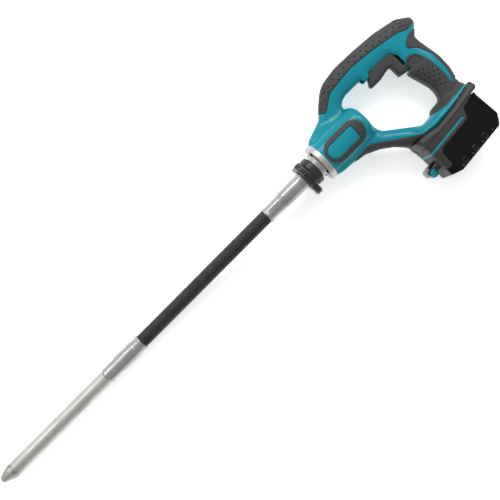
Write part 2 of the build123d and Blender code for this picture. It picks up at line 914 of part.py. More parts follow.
with BuildPart() as latch_guard:
    with BuildSketch(pack_plane()):
        add(rounded(GUARD))
        add(rounded(PACK), mode=Mode.SUBTRACT)
    extrude(amount=11, both=True)
finish(latch_guard, "latch_guard")

with BuildPart() as latch_spring:
    with BuildLine() as coil_line:
        Helix(
            pitch=1.9,
            height=9.4,
            radius=5.2,
            center=pack_plane().from_local_coords((-11.6, LATCH_V, 0)),
            direction=pack_plane().x_dir,
        )
    coil = coil_line.wire()
    with BuildSketch(Plane(origin=coil @ 0, z_dir=coil % 0)):
        Circle(0.45)
    sweep(path=coil, is_frenet=True)
finish(latch_spring, "latch_spring")
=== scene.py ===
"""Cordless concrete vibrator lying on its right side: the looks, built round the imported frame.

Outlines are in the tool's own millimetres: x from the rear face of the drive flange, y from the
drive axis, z from the middle plane. Each corner is (x, y, radius of its rounding). The battery's
outlines are in its own tilted plane. The row frame is in metres.
"""

import json
import math

import bmesh
import bpy
import numpy as np
from mathutils import Matrix, Vector
from mathutils.geometry import delaunay_2d_cdt


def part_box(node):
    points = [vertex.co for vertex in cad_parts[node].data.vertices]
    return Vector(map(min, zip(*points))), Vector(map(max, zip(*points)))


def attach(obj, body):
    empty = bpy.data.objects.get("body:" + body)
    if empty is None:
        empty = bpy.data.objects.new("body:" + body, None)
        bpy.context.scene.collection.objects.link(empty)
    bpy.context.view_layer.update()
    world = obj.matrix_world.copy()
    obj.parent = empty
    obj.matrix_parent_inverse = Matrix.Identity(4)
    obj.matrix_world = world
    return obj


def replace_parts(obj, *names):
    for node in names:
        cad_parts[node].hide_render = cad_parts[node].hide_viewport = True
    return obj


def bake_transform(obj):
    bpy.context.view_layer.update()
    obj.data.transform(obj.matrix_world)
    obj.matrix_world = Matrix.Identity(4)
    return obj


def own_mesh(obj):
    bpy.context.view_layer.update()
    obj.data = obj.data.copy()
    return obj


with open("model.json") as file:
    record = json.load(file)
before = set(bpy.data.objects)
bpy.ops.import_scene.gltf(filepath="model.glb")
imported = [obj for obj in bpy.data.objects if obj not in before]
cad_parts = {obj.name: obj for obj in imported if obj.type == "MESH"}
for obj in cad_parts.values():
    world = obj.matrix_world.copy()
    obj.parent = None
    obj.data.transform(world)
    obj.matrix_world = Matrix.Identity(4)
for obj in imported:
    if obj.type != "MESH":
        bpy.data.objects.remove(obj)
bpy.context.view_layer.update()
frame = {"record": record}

MM = 0.001
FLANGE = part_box("drive_flange")
TOOL_X = FLANGE[1][0] / MM
TOOL_Y = (FLANGE[0][1] + FLANGE[1][1]) / 2 / MM
MID_Z = (FLANGE[0][2] + FLANGE[1][2]) / 2 / MM
TUBE_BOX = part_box("head_tube")
HEAD_Z = (TUBE_BOX[0][2] + TUBE_BOX[1][2]) / 2 / MM
HEAD_DROP = HEAD_Z - MID_Z

# ---- driving dimensions, mm
GRIP_HALF = 17.0
PAD_RISE = 0.9
SEAM_DEPTH = 0.75
PARTING = 0.12
FLARE_RISE = 13.0
BARREL_R = 34.5
BARREL_LENGTH = 95.0
BARREL_ROUND = 13
BATTERY_TILT = math.radians(5.8)
BATTERY_HALF = 37.5
PACK_ORIGIN = (129.7, -104.3)
FLANGE_T = 10.0
BOLT_CIRCLE = 27.0
# places along the drive axis
RING_FROM = -46.0
RING_TO = -20.0
FERRULE_END = -132.0
HEAD_END = -429.0
TUBE_FROM = -514.0
TUBE_TO = -732.0
NOSE_TIP = -761.4
# radii, lengths and pitches
NOSE_R = 12.6
TIP_R = 5.9
CONE_LENGTH = 20
TUBE_R = 12.7
HOSE_R = 12.0
WRAP_PITCH = 30.0
LINER_R = 7.6
LINER_PITCH = 6.0
SHAFT_R = 4.5

# control points of the hose's middle line: x and z
HOSE_ROUTE = [
    (FERRULE_END, 0.0), (-191.4, 0.0), (-250.8, -6.6), (-310.2, -16.3), (-369.6, HEAD_DROP),
    (HEAD_END, HEAD_DROP),
]

OUTER = [
    (0, 34.5, 1), (5.6, 39.2, 4), (40.7, 51.2, 16), (58.9, 68.6, 30), (82.6, 88, 45),
    (118.1, 93.2, 60), (159.9, 92, 60), (204.7, 88.4, 60), (246.1, 80, 18), (266.3, 65.8, 7),
    (266.7, 54.1, 5), (249.3, 37.1, 7), (249.6, 26, 14), (256.4, -14, 40), (255.1, -40, 40),
    (248.4, -66, 5), (251.5, -75.5, 1), (251.5, -80, 1), (241, -81, 8), (200, -89, 30),
    (165, -92.3, 30), (143, -88.5, 15), (117.5, -88.6, 1), (113.5, -82, 6), (100, -67.5, 20),
    (81, -53.8, 25), (57.5, -42.8, 14), (30.2, -38.7, 10), (12.2, -37.7, 6), (0, -34.5, 1),
]
LOOP = [
    (82.9, 35.4, 3.5), (84.8, 41.7, 5), (93.9, 47.3, 8), (103.8, 49.4, 8), (134, 49.3, 4),
    (137, 40, 1.5), (148, 40, 2), (155, 47, 3), (198, 46.5, 6), (205.5, 34, 8), (205.8, 5, 1),
    (200.2, 3, 1), (203.1, -8, 20), (211.6, -38, 20), (212, -50, 14), (208.5, -66.7, 10),
    (184.9, -69.2, 3), (179.8, -74.3, 2), (155.5, -75.8, 14), (98.1, -32, 22), (98.1, 20.4, 10),
]
FOOT = [
    (120, -88.2, 0.5), (124.5, -104.83, 2), (250, -92.1, 3), (253.5, -88, 3), (252, -77.5, 1),
    (150, -80, 1),
]
PADS = {
    "top_grip": [
        (44, 62, 1), (55, 50.8, 3), (62, 54, 6), (82, 68.5, 20), (134, 74, 60), (178, 69.8, 60),
        (230, 60.8, 15), (247, 53.2, 5), (275, 56.5, 1), (275, 100, 1), (44, 100, 1),
    ],
    "rear_spine": [
        (274, 49, 1), (238, 45.5, 8), (228, 38, 6), (224, 31.5, 2), (238, 20, 10), (248.8, -2, 30),
        (248.8, -30, 30), (246, -48, 10), (241, -59, 1), (274, -59, 1),
    ],
    "palm_grip": [
        (208.5, 7, 2), (208.8, 17, 4), (214, 21.5, 4), (220, 21, 5), (229, 15, 8), (236.8, -6, 20),
        (239.5, -30, 30), (238, -60, 2), (270, -62, 1), (270, -74, 1), (230, -77, 10),
        (205, -79, 12), (186, -77, 6), (177, -73.5, 1), (177, -64, 1), (205, -62, 1), (200, 0, 4),
    ],
    "lower_grip": [
        (38, -38, 1), (70, -36, 14), (150, -91.5, 4), (140, -100, 1), (30, -60, 1),
    ],
}
BADGE = [(2, -25, 21), (82, -25, 21), (82, 17, 21), (2, 17, 21)]
PLATE = [(7, -17, 12), (65, -17, 2), (65, 8, 2), (7, 8, 12)]
TRIGGER = [
    (139.5, 31, 1.5), (142, 26.5, 2), (160, 26, 20), (184, 30.5, 3), (186.8, 28, 2), (187, 8, 2),
    (203, 4.8, 2), (205.2, 8, 1), (205.2, 39.5, 1), (209, 41, 1), (208, 52, 3), (158, 53, 3),
    (148, 44.5, 3),
]
TRIGGER_HALF = 9.5
THUMB = (220.8, 8.2, 12.0, 8.3, -45)  # centre, half lengths and turn in degrees
GRIP_SLOT = [(251.7, 60.1, 1.5), (250.4, 57.5, 1.5), (236.9, 63.3, 1.5), (238, 66.2, 1.5)]
BOSS = (94, -42.5, 3.3, 3.3, 0)
PACK = [
    (-5, -0.4, 3), (115.5, -0.4, 3), (114.5, -53, 7), (107, -63, 6), (100, -69.5, 4),
    (7, -69.5, 6), (-10.5, -61.5, 4),
]
COVER_REGION = [
    (-20, 5, 1), (108, 5, 1), (105, -2, 1), (84, -5, 3), (75, -21, 3), (12, -20.5, 4), (7, -25, 4),
    (2, -50, 2), (-5, -49.5, 3), (-10.5, -41.5, 1), (-20, -41, 1),
]
STRIPE = [(-20, -15.8, 0.2), (72, -15.8, 1.2), (72, -12.2, 1.2), (-20, -12.2, 0.2)]
RIDGE = [(48, -4.6, 0.6), (60, -4.6, 0.6), (60, -2.4, 0.6), (48, -2.4, 0.6)]
REAR_STRIP = [(106, -3, 1), (113.3, -6, 1), (112.3, -52, 2), (108, -52, 2)]
BUTTON = [
    (-27, -31.3, 6), (-12.4, -31.3, 2), (-12.4, -46.5, 5), (-26, -47.2, 6),
]
# a lug of the lock ring: radius, angle from its middle in degrees, rounding
LUG = [(20, -34, 1), (34.8, -19, 3.2), (36.2, 0, 14), (34.8, 19, 3.2), (20, 34, 1)]
GUARD = [
    (-4, -26, 1), (-24, -24.8, 4), (-30.5, -27, 5), (-31, -38.5, 1.5), (-28.2, -38.5, 1),
    (-28.2, -30.2, 3.5), (-4, -29.9, 1),
]


# ---- small maths
def tool_place(points):
    """Tool millimetres to row metres."""
    return (np.asarray(points, float) + (TOOL_X, TOOL_Y, MID_Z)) * MM


def head_place(points):
    """Millimetres about the head's axis to row metres."""
    return (np.asarray(points, float) + (TOOL_X, TOOL_Y, HEAD_Z)) * MM


def pack_place(points):
    """Millimetres in the battery's tilted plane to row metres."""
    p = np.asarray(points, float)
    c, s = math.cos(BATTERY_TILT), math.sin(BATTERY_TILT)
    turned = np.stack([p[:, 0] * c - p[:, 1] * s, p[:, 0] * s + p[:, 1] * c, p[:, 2]], 1)
    return tool_place(turned + (PACK_ORIGIN[0], PACK_ORIGIN[1], 0))


def smooth(t):
    """Soft step from 0 to 1."""
    t = np.clip(t, 0, 1)
    return t * t * (3 - 2 * t)


def rounded_off(distance, radius):
    """How far a quarter circle lies below its top, as a share, by distance from the edge."""
    q = np.clip(distance / radius, 0, 1)
    return 1 - np.sqrt(1 - (1 - q) ** 2)


def groove(distance, width):
    """Bell-shaped dip along a line, 1 at its middle."""
    return np.exp(-((distance / width) ** 2))


def outline(corners, step=2.0):
    """Points along a closed outline with rounded corners."""
    pts = [np.array(c[:2], float) for c in corners]
    radii = [c[2] for c in corners]
    count = len(pts)
    path = []
    for i in range(count):
        before, at, after = pts[i - 1], pts[i], pts[(i + 1) % count]
        u = (before - at) / np.linalg.norm(before - at)
        v = (after - at) / np.linalg.norm(after - at)
        half = math.acos(np.clip(u @ v, -1, 1)) / 2
        room = 0.49 * min(np.linalg.norm(before - at), np.linalg.norm(after - at))
        reach = min(radii[i] / math.tan(half), room)
        radius = reach * math.tan(half)
        bis = (u + v) / max(np.linalg.norm(u + v), 1e-9)
        centre = at + bis * radius / math.sin(half)
        start, end = at + u * reach, at + v * reach
        turns = max(1, math.ceil(radius * (math.pi - 2 * half) / (step * 0.8)))
        turns = max(turns, math.ceil(math.degrees(math.pi - 2 * half) / 18))
        a0 = math.atan2(*(start - centre)[::-1])
        sweep = math.atan2(*(end - centre)[::-1]) - a0
        sweep = (sweep + math.pi) % (2 * math.pi) - math.pi
        for k in range(turns + 1):
            a = a0 + sweep * k / turns
            path.append(centre + radius * np.array([math.cos(a), math.sin(a)]))
    filled = []
    for i, p in enumerate(path):
        q = path[(i + 1) % len(path)]
        pieces = max(1, math.ceil(np.linalg.norm(q - p) / step))
        filled += [p + (q - p) * k / pieces for k in range(pieces)]
    filled = np.array(filled)
    apart = np.linalg.norm(filled - np.roll(filled, 1, axis=0), axis=1) > 0.05
    return filled[apart]


def gap(points, loops):
    """Distance of each point to the nearest of some closed outlines."""
    a = np.vstack(loops)
    b = np.vstack([np.roll(loop, -1, axis=0) for loop in loops])
    d = b - a
    length2 = np.maximum((d * d).sum(1), 1e-12)
    found = np.empty(len(points))
    batch = 1500
    for i in range(0, len(points), batch):
        p = points[i : i + batch, None, :]
        t = np.clip(((p - a) * d).sum(2) / length2, 0, 1)
        found[i : i + batch] = np.sqrt((((p - a) - t[..., None] * d) ** 2).sum(2).min(1))
    return found


def inside(points, loop):
    """Which points lie inside a closed outline."""
    x, y = points[:, 0:1], points[:, 1:2]
    ax, ay = loop[:, 0], loop[:, 1]
    bx, by = np.roll(ax, -1), np.roll(ay, -1)
    span = (ay > y) != (by > y)
    cross = x < (bx - ax) * (y - ay) / np.where(by == ay, 1e-12, by - ay) + ax
    return ((span & cross).sum(1) % 2).astype(bool)


# ---- meshes
CREASE_ANGLE = 38
TURNED_CREASE = 35


def linked(name, data):
    """New object in the scene."""
    thing = bpy.data.objects.new(name, data)
    bpy.context.scene.collection.objects.link(thing)
    return thing


def new_piece(name, verts, faces, slot, body, crease=CREASE_ANGLE):
    """Object from mesh data in the row frame, with its material, riding on a body."""
    mesh = bpy.data.meshes.new(name)
    mesh.from_pydata([tuple(v) for v in verts], [], faces)
    bm = bmesh.new()
    bm.from_mesh(mesh)
    bmesh.ops.remove_doubles(bm, verts=bm.verts, dist=2e-6)
    bmesh.ops.recalc_face_normals(bm, faces=bm.faces)
    bm.to_mesh(mesh)
    bm.free()
    piece = linked(name, mesh)
    shade(piece, crease)
    dress(piece, slot)
    if body:
        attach(piece, body)
    return piece


def shade(piece, crease=CREASE_ANGLE):
    """Smooth shading, with edges sharper than the crease angle kept."""
    piece.data.shade_smooth()
    piece.data.set_sharp_from_angle(angle=math.radians(crease))


def dress(piece, slot):
    """Give a piece the material of a slot."""
    piece.data.materials.clear()
    piece.data.materials.append(LOOKS[slot])


def bake(piece):
    """Apply the piece's modifiers."""
    depsgraph = bpy.context.evaluated_depsgraph_get()
    mesh = bpy.data.meshes.new_from_object(piece.evaluated_get(depsgraph))
    piece.modifiers.clear()
    piece.data = mesh
    shade(piece)


def carve(piece, cutters, operation="DIFFERENCE"):
    """Cut some solids out of a piece and remove the cutters."""
    for cutter in cutters:
        step = piece.modifiers.new("carve", "BOOLEAN")
        step.operation = operation
        step.solver = "EXACT"
        step.object = cutter
    bake(piece)
    for cutter in cutters:
        bpy.data.objects.remove(cutter)


def solid_box(place, low, high):
    """Plain box between two corners."""
    xs, ys, zs = zip(low, high)
    verts = place([(x, y, z) for x in xs for y in ys for z in zs])
    faces = [(0, 1, 3, 2), (4, 6, 7, 5), (0, 4, 5, 1), (2, 3, 7, 6), (0, 2, 6, 4), (1, 5, 7, 3)]
    return new_piece("cutter", verts, faces, "tool_steel", None)


def ring_faces(rings, sides):
    """Quads between each ring of points and the next one."""
    faces = []
    for i in range(rings - 1):
        a, b = i * sides, (i + 1) * sides
        for k in range(sides):
            m = (k + 1) % sides
            faces.append((a + k, a + m, b + m, b + k))
    return faces


def end_caps(rings, sides):
    """The flat first and last faces of a row of rings."""
    last = (rings - 1) * sides
    return [tuple(range(sides))[::-1], tuple(last + k for k in range(sides))]


DIMPLE_RINGS = ((0.45, 6), (0.9, 9), (1.25, 11), (1.6, 12), (2.2, 12))
DIMPLE_ROOM = 2.6
DIMPLE_MARGIN = 2.8


def net(loops, dimples=(), rings=(0.4, 0.9, 1.7, 2.8, 4.2, 6.2, 8.6), spacing=4.5):
    """Triangles that follow every outline, finer beside it and round each dimple."""
    fixed = np.vstack(loops)
    edges = []
    start = 0
    for loop in loops:
        edges += [(start + i, start + (i + 1) % len(loop)) for i in range(len(loop))]
        start += len(loop)
    loose = []
    for ring in rings:
        for loop in loops:
            ahead = np.roll(loop, -1, axis=0) - np.roll(loop, 1, axis=0)
            across = np.stack([ahead[:, 1], -ahead[:, 0]], 1) / np.linalg.norm(ahead, axis=1)[:, None]
            for sign in (1, -1):
                points = (loop + sign * ring * across)[:: 2 if ring > 2 else 1]
                loose.append(points[gap(points, loops) > 0.93 * ring])
    low, high = fixed.min(0), fixed.max(0)
    rows = np.arange(low[1], high[1], spacing * 0.87)
    columns = np.arange(low[0], high[0], spacing)
    lattice = [(x + (j % 2) * spacing / 2, y) for j, y in enumerate(rows) for x in columns]
    lattice = np.array(lattice)
    loose.append(lattice[gap(lattice, loops) > rings[-1] + 0.5 * spacing])
    loose = np.vstack(loose)
    spots = np.array(dimples).reshape(-1, 2)
    if len(spots):
        apart = np.sqrt(((loose[:, None, :] - spots) ** 2).sum(2).min(1))
        loose = loose[apart > DIMPLE_ROOM]
        rounds = [spots]
        for radius, count in DIMPLE_RINGS:
            turn = np.arange(count) * 2 * math.pi / count
            circle = radius * np.stack([np.cos(turn), np.sin(turn)], 1)
            ring_points = (spots[:, None, :] + circle).reshape(-1, 2)
            rounds.append(ring_points[gap(ring_points, loops) > 0.3])
        loose = np.vstack([loose] + rounds)
    points = [Vector(p) for p in np.vstack([fixed, loose])]
    verts, _, faces, _, _, _ = delaunay_2d_cdt(points, edges, [], 0, 1e-3)
    verts = np.array([v[:] for v in verts])
    tris = np.array([f for f in faces if len(f) == 3])
    a, b, c = (verts[tris[:, k]] for k in range(3))
    u, v = b - a, c - a
    area = u[:, 0] * v[:, 1] - u[:, 1] * v[:, 0]
    tris[area < 0] = tris[area < 0][:, ::-1]
    return verts, tris[np.abs(area) > 1e-6]


def rim_edges(tris):
    """Directed edges that only one triangle has."""
    directed = {(int(t[k]), int(t[(k + 1) % 3])) for t in tris for k in range(3)}
    return [e for e in directed if (e[1], e[0]) not in directed]


def raised(name, tris, top, under, place, slot, body, wall_rows=4):
    """Closed solid between an upper and a lower surface over some triangles of a net."""
    used = np.unique(tris)
    index = {int(v): i for i, v in enumerate(used)}
    count = len(used)
    verts = [*top[used], *under[used]]
    faces = [tuple(index[int(v)] for v in t) for t in tris]
    faces += [tuple(index[int(v)] + count for v in t[::-1]) for t in tris]
    columns = {}
    rim = rim_edges(tris)
    for v in {v for edge in rim for v in edge}:
        column = [index[v]]
        for row in range(1, wall_rows):
            column.append(len(verts))
            verts.append(top[v] + (under[v] - top[v]) * row / wall_rows)
        columns[v] = column + [index[v] + count]
    for a, b in rim:
        for row in range(wall_rows):
            faces.append((columns[b][row], columns[a][row], columns[a][row + 1], columns[b][row + 1]))
    return new_piece(name, place(np.array(verts)), faces, slot, body)


def lifted(points, height, rim_loops, proud):
    """Surface points pushed out along the surface's normal by an amount each."""
    step = 0.05
    h = height(points)
    hx = (height(points + (step, 0)) - height(points - (step, 0))) / (2 * step)
    hy = (height(points + (0, step)) - height(points - (0, step))) / (2 * step)
    normal = np.stack([-hx, -hy, np.ones(len(points))], 1)
    if rim_loops:
        on_rim = gap(points, rim_loops) < 0.02
        moved = [points + way for way in ((0.5, 0), (-0.5, 0), (0, 0.5), (0, -0.5))]
        right, left, above, below = [gap(m, rim_loops) * side_of(m, rim_loops) for m in moved]
        outward = -np.stack([right - left, above - below, np.zeros(len(points))], 1)
        normal[on_rim] = outward[on_rim]
    normal /= np.linalg.norm(normal, axis=1)[:, None]
    return np.column_stack([points, h]) + normal * proud[:, None]


def side_of(points, rim_loops):
    """1 inside the first outline and outside the others, -1 elsewhere."""
    within = inside(points, rim_loops[0])
    for hole in rim_loops[1:]:
        within &= ~inside(points, hole)
    return np.where(within, 1.0, -1.0)


def mirrored(points, floor=None):
    """The same surface on the tool's other side, or a flat one at a height."""
    copy = points.copy()
    copy[:, 2] = -copy[:, 2] if floor is None else floor
    return copy


def lathe(name, corners, slot, body, place=tool_place, segments=96, arc=None):
    """Solid of revolution about the tool's x axis; corners are (x, r, rounding)."""
    profile = outline(corners, 3.0)
    profile[:, 1] = np.maximum(profile[:, 1], 0)
    a0, a1 = arc if arc else (0.0, 2 * math.pi)
    turns = segments if arc is None else segments // 2 + 1
    stops = a0 + (a1 - a0) * np.arange(turns) / (segments if arc is None else turns - 1)
    verts = [(x, r * math.cos(a), r * math.sin(a)) for a in stops for x, r in profile]
    n = len(profile)
    faces = []
    last = turns if arc is None else turns - 1
    for i in range(last):
        j = (i + 1) % turns
        for k in range(n):
            m = (k + 1) % n
            if profile[k, 1] < 1e-6 and profile[m, 1] < 1e-6:
                continue
            faces.append((i * n + k, i * n + m, j * n + m, j * n + k))
    if arc is not None:
        faces.append(tuple(range(n)))
        faces.append(tuple((turns - 1) * n + k for k in range(n))[::-1])
    return new_piece(name, place(np.array(verts)), faces, slot, body, TURNED_CREASE)


def joined(name, parts):
    """Several pieces of one body made into one object."""
    keeper = parts[0]
    bm = bmesh.new()
    for part in parts:
        bm.from_mesh(part.data)
    bm.to_mesh(keeper.data)
    bm.free()
    for part in parts[1:]:
        bpy.data.objects.remove(part)
    keeper.name = name
    shade(keeper)
    return keeper


# ---- materials
def srgb(code, dimmed=1.0):
    """Linear colour of a hex code, made darker by a factor."""
    channels = [int(code[i : i + 2], 16) / 255 for i in (0, 2, 4)]
    linear = [c / 12.92 if c <= 0.04045 else ((c + 0.055) / 1.055) ** 2.4 for c in channels]
    return [dimmed * c for c in linear] + [1]


class Nodes:
    """A material's node tree, with short ways to add and join nodes."""

    def __init__(self, name):
        self.material = bpy.data.materials.new(name)
        self.material.use_nodes = True
        self.tree = self.material.node_tree
        self.shader = self.tree.nodes["Principled BSDF"]
        self.coords = self.tree.nodes.new("ShaderNodeTexCoord")

    def add(self, kind, **sockets):
        """New node with some of its inputs set; _ in a name stands for a space."""
        node = self.tree.nodes.new("ShaderNode" + kind)
        for key, value in sockets.items():
            node.inputs[key.replace("_", " ")].default_value = value
        return node

    def join(self, out, into):
        """Link between two sockets."""
        self.tree.links.new(out, into)

    def drive(self, name, out):
        """Link from a socket to one of the shader's inputs."""
        self.join(out, self.shader.inputs[name])

    def noise(self, scale, detail=3.0, stretch=None):
        """Noise in the object's own coordinates, stretched along some axes."""
        node = self.add("TexNoise", Scale=scale, Detail=detail)
        source = self.coords.outputs["Object"]
        if stretch:
            mapping = self.add("Mapping", Scale=stretch)
            self.join(source, mapping.inputs["Vector"])
            source = mapping.outputs["Vector"]
        self.join(source, node.inputs["Vector"])
        return node.outputs["Fac"]

    def mix(self, fac, first, second):
        """Colour between two colours or colour sockets."""
        node = self.add("Mix")
        node.data_type = "RGBA"
        self.join(fac, node.inputs[0])
        for value, socket in ((first, node.inputs[6]), (second, node.inputs[7])):
            if isinstance(value, (list, tuple)):
                socket.default_value = value
            else:
                self.join(value, socket)
        return node.outputs[2]

    def maths(self, operation, first, second=None):
        """One operation on a socket and a number or another socket."""
        node = self.add("Math")
        node.operation = operation
        self.join(first, node.inputs[0])
        if isinstance(second, float):
            node.inputs[1].default_value = second
        elif second:
            self.join(second, node.inputs[1])
        return node.outputs[0]

    def spread(self, value, low, high, to_low, to_high):
        """Moves the range low to high onto another one."""
        node = self.add("MapRange", From_Min=low, From_Max=high, To_Min=to_low, To_Max=to_high)
        self.join(value, node.inputs["Value"])
        return node.outputs["Result"]

    def bump(self, height, strength, distance):
        """Fine relief on the shader."""
        node = self.add("Bump", Strength=strength, Distance=distance)
        self.join(height, node.inputs["Height"])
        self.drive("Normal", node.outputs["Normal"])


def plastic(name, colour, dark, light, rough, grain, bump, wear_and_highlight=0.5, shine=0.5):
    """Moulded plastic or rubber: fine grain, slow colour drift, ridges paler for wear and a painted
    highlight, hollows darker as painted shade.
    """
    n = Nodes(name)
    drift = n.spread(n.noise(14, 4), 0.3, 0.7, 0, 1)
    base = n.mix(drift, srgb(dark), srgb(colour))
    speck = n.spread(n.noise(420, 2), 0.45, 0.75, 0, 0.35)
    base = n.mix(speck, base, srgb(colour))
    edge = n.add("NewGeometry").outputs["Pointiness"]
    # paler on ridges by pointiness: edge wear together with a painted highlight
    ridge = n.spread(edge, 0.52, 0.6, 0, wear_and_highlight)
    base = n.mix(ridge, base, srgb(light))
    # painted shade: colour darkened towards near-black in hollows, creases, dimples and gaps (low
    # pointiness)
    base = n.mix(n.spread(edge, 0.488, 0.44, 0, 0.95), base, srgb(dark, 0.15))
    n.drive("Base Color", base)
    n.drive("Roughness", n.spread(n.noise(60, 5), 0.3, 0.7, rough - 0.06, rough + 0.07))
    n.bump(n.noise(grain, 3), bump, 0.0003)
    n.shader.inputs["Specular IOR Level"].default_value = shine
    return n.material


def metal(name, colour, dark, rough, brush, bump=0.05, smudge=0.12):
    """Bare metal: machining lines, smudges that change the gloss, faint colour patches."""
    n = Nodes(name)
    n.shader.inputs["Metallic"].default_value = 1.0
    patch = n.spread(n.noise(22, 5), 0.35, 0.7, 0, 1)
    lines = n.noise(1.0, 4, brush)
    base = n.mix(patch, srgb(colour), srgb(dark))
    base = n.mix(n.spread(lines, 0.3, 0.7, 0, 0.35), base, srgb(dark))
    n.drive("Base Color", base)
    gloss = n.spread(n.noise(45, 6), 0.3, 0.7, rough - smudge / 2, rough + smudge)
    n.drive("Roughness", gloss)
    n.bump(lines, bump, 0.0002)
    return n.material


def hose_look(name):
    """Rubber hose with a woven wrap pressed into it; its UV is in metres along and round it."""
    n = Nodes(name)
    weave = []
    for angle in (0.9, -0.9):
        turn = n.add("Mapping", Rotation=(0, 0, angle))
        n.join(n.coords.outputs["UV"], turn.inputs["Vector"])
        wave = n.add("TexWave", Scale=170.0, Distortion=0.4, Detail=1.0)
        n.join(turn.outputs["Vector"], wave.inputs["Vector"])
        weave.append(wave.outputs["Fac"])
    threads = n.maths("MAXIMUM", *weave)
    dust = n.spread(n.noise(30, 6), 0.4, 0.75, 0, 0.5)
    base = n.mix(n.spread(threads, 0.3, 1.0, 0, 1), srgb("0d0d0e"), srgb("1a1a1b"))
    base = n.mix(dust, base, srgb("232324"))
    # painted shade: a near-black line along the spiral groove that the wrap's edge presses in
    parts = n.add("SeparateXYZ")
    n.join(n.coords.outputs["UV"], parts.inputs[0])
    along = n.maths("DIVIDE", parts.outputs[0], WRAP_PITCH * MM)
    around = n.maths("DIVIDE", parts.outputs[1], 2 * math.pi * HOSE_R * MM)
    turn = n.maths("FRACT", n.maths("ADD", n.maths("SUBTRACT", along, around), 0.5))
    away = n.maths("ABSOLUTE", n.maths("SUBTRACT", turn, 0.5))
    base = n.mix(n.spread(away, 0.015, 0.05, 0.9, 0), base, srgb("050505"))
    n.drive("Base Color", base)
    n.drive("Roughness", n.spread(n.noise(80, 4), 0.3, 0.7, 0.5, 0.68))
    n.bump(threads, 0.35, 0.0004)
    return n.material


# plastic: colour, dark, light, roughness, grain, bump, worn edges with painted highlight, gloss
# metal: colour, dark, roughness, stretch of the machining lines, bump, smudges
RECIPES = {
    "teal_housing": (plastic, "058b9b", "038090", "35b0bd", 0.24, 1400, 0.12, 0.3, 0.28),
    "grip_rubber": (plastic, "3d3c3c", "343333", "605f5e", 0.55, 1900, 0.2, 0.4, 0.35),
    "grey_plastic": (plastic, "343333", "2b2b2b", "5a5958", 0.45, 1700, 0.15, 0.4, 0.4),
    "black_plastic": (plastic, "040404", "020202", "2c2c2d", 0.36, 1600, 0.16, 0.6, 0.18),
    "light_plastic": (plastic, "7d8080", "717474", "b0b2b2", 0.3, 1200, 0.05, 0.3),
    "cast_aluminium": (metal, "cfccc9", "b3b0ae", 0.4, (300, 40, 40), 0.08),
    "head_steel": (metal, "cbcbc6", "b8b7b3", 0.48, (520, 5, 5), 0.04),
    "polished_steel": (metal, "b8bab7", "a2a4a2", 0.34, (480, 6, 6), 0.03, 0.08),
    "black_cast": (plastic, "242424", "191919", "6a6a6a", 0.34, 700, 0.35, 0.8),
    "hose_rubber": (hose_look,),
    "tool_steel": (metal, "8f9194", "6f7174", 0.3, (300, 60, 60)),
    "magnet": (plastic, "3a3b3e", "2c2d30", "56585c", 0.6, 900, 0.3),
    "copper": (metal, "b4693c", "8f4f2b", 0.3, (300, 60, 60)),
    "carbon": (plastic, "2a2a2c", "202022", "444446", 0.7, 900, 0.3),
    "circuit_board": (plastic, "1f5a34", "17482a", "3d7d54", 0.35, 800, 0.1),
    "cell_wrap": (plastic, "3f6fa8", "335d90", "6a94c4", 0.28, 300, 0.05),
    "dark_steel": (metal, "3a3a3c", "262628", 0.34, (200, 90, 90)),
}
LOOKS = {name: make(name, *values) for name, (make, *values) in RECIPES.items()}


# ---- housing
RIM = [outline(OUTER), outline(LOOP)]
SEAMS = {name: outline(corners) for name, corners in PADS.items()}


def grip_height(points):
    """Half thickness of the housing: rounded grips, a thinner web, a wide foot, the barrel."""
    x, y = points[:, 0], points[:, 1]
    d = gap(points, RIM)
    # web: the thin part between barrel and top grip; flare: towards the foot
    web = smooth((80 - x) / 22) * smooth((y - 33) / 7)
    flare = smooth((-68 - y) / 19) * smooth((x - 122) / 24)
    base = GRIP_HALF - 3.5 * web + FLARE_RISE * flare
    radius = 21 - 12 * smooth((40 - x) / 30) - 14 * flare
    drop = 11.5 - 6 * smooth((40 - x) / 30) - 5 * flare
    h = base - drop * rounded_off(d, radius)
    end = np.clip((x - (BARREL_LENGTH - BARREL_ROUND)) / BARREL_ROUND, 0, 0.9999)
    barrel_r = BARREL_R - BARREL_ROUND + BARREL_ROUND * np.sqrt(1 - end**2) - 0.15
    barrel = np.sqrt(np.maximum(barrel_r**2 - y**2, 0)) * (x < BARREL_LENGTH)
    soft = 5.0
    near = np.clip(0.5 + 0.5 * (barrel - h) / soft, 0, 1)
    return h * (1 - near) + barrel * near + soft * near * (1 - near)


def thumb_dip(points):
    """Shallow oval dish for the thumb on the palm panel."""
    x, y, long, short, turn = THUMB
    c, s = math.cos(math.radians(turn)), math.sin(math.radians(turn))
    across, along = points[:, 0] - x, points[:, 1] - y
    u, v = (across * c + along * s) / long, (along * c - across * s) / short
    return 1.1 * smooth((1 - np.sqrt(u * u + v * v)) / 0.16)


def grip_dimples():
    """Centres of the dimples: two rows on the top grip, a grid on the palm, one row below."""
    spots = []
    for i in range(14):
        x = 245 - 12.95 * i
        spots.append((x, 82.8 - 0.00146 * (x - 145) ** 2))
        x = 226 - 13.05 * i
        spots.append((x, 76 - 0.0012 * (x - 140) ** 2 - 0.25 * max(0, 84 - x)))
    for row, first, last in ((-2, -2, 1), (-1, -2, 2), (0, -1, 3), (1, 0, 3), (2, 0, 3)):
        for i in range(first, last + 1):
            spots.append((217.1 + 6.86 * i - 4.28 * row, -28.6 - 3.39 * i - 6.71 * row))
    for i in range(7):
        spots.append((66 + 11 * i, -44.5 - 7.6 * i))
    within = side_of(np.array(spots), RIM) > 0
    clear = gap(np.array(spots), RIM + list(SEAMS.values())) > DIMPLE_MARGIN
    return [spot for spot, good in zip(spots, within & clear) if good]


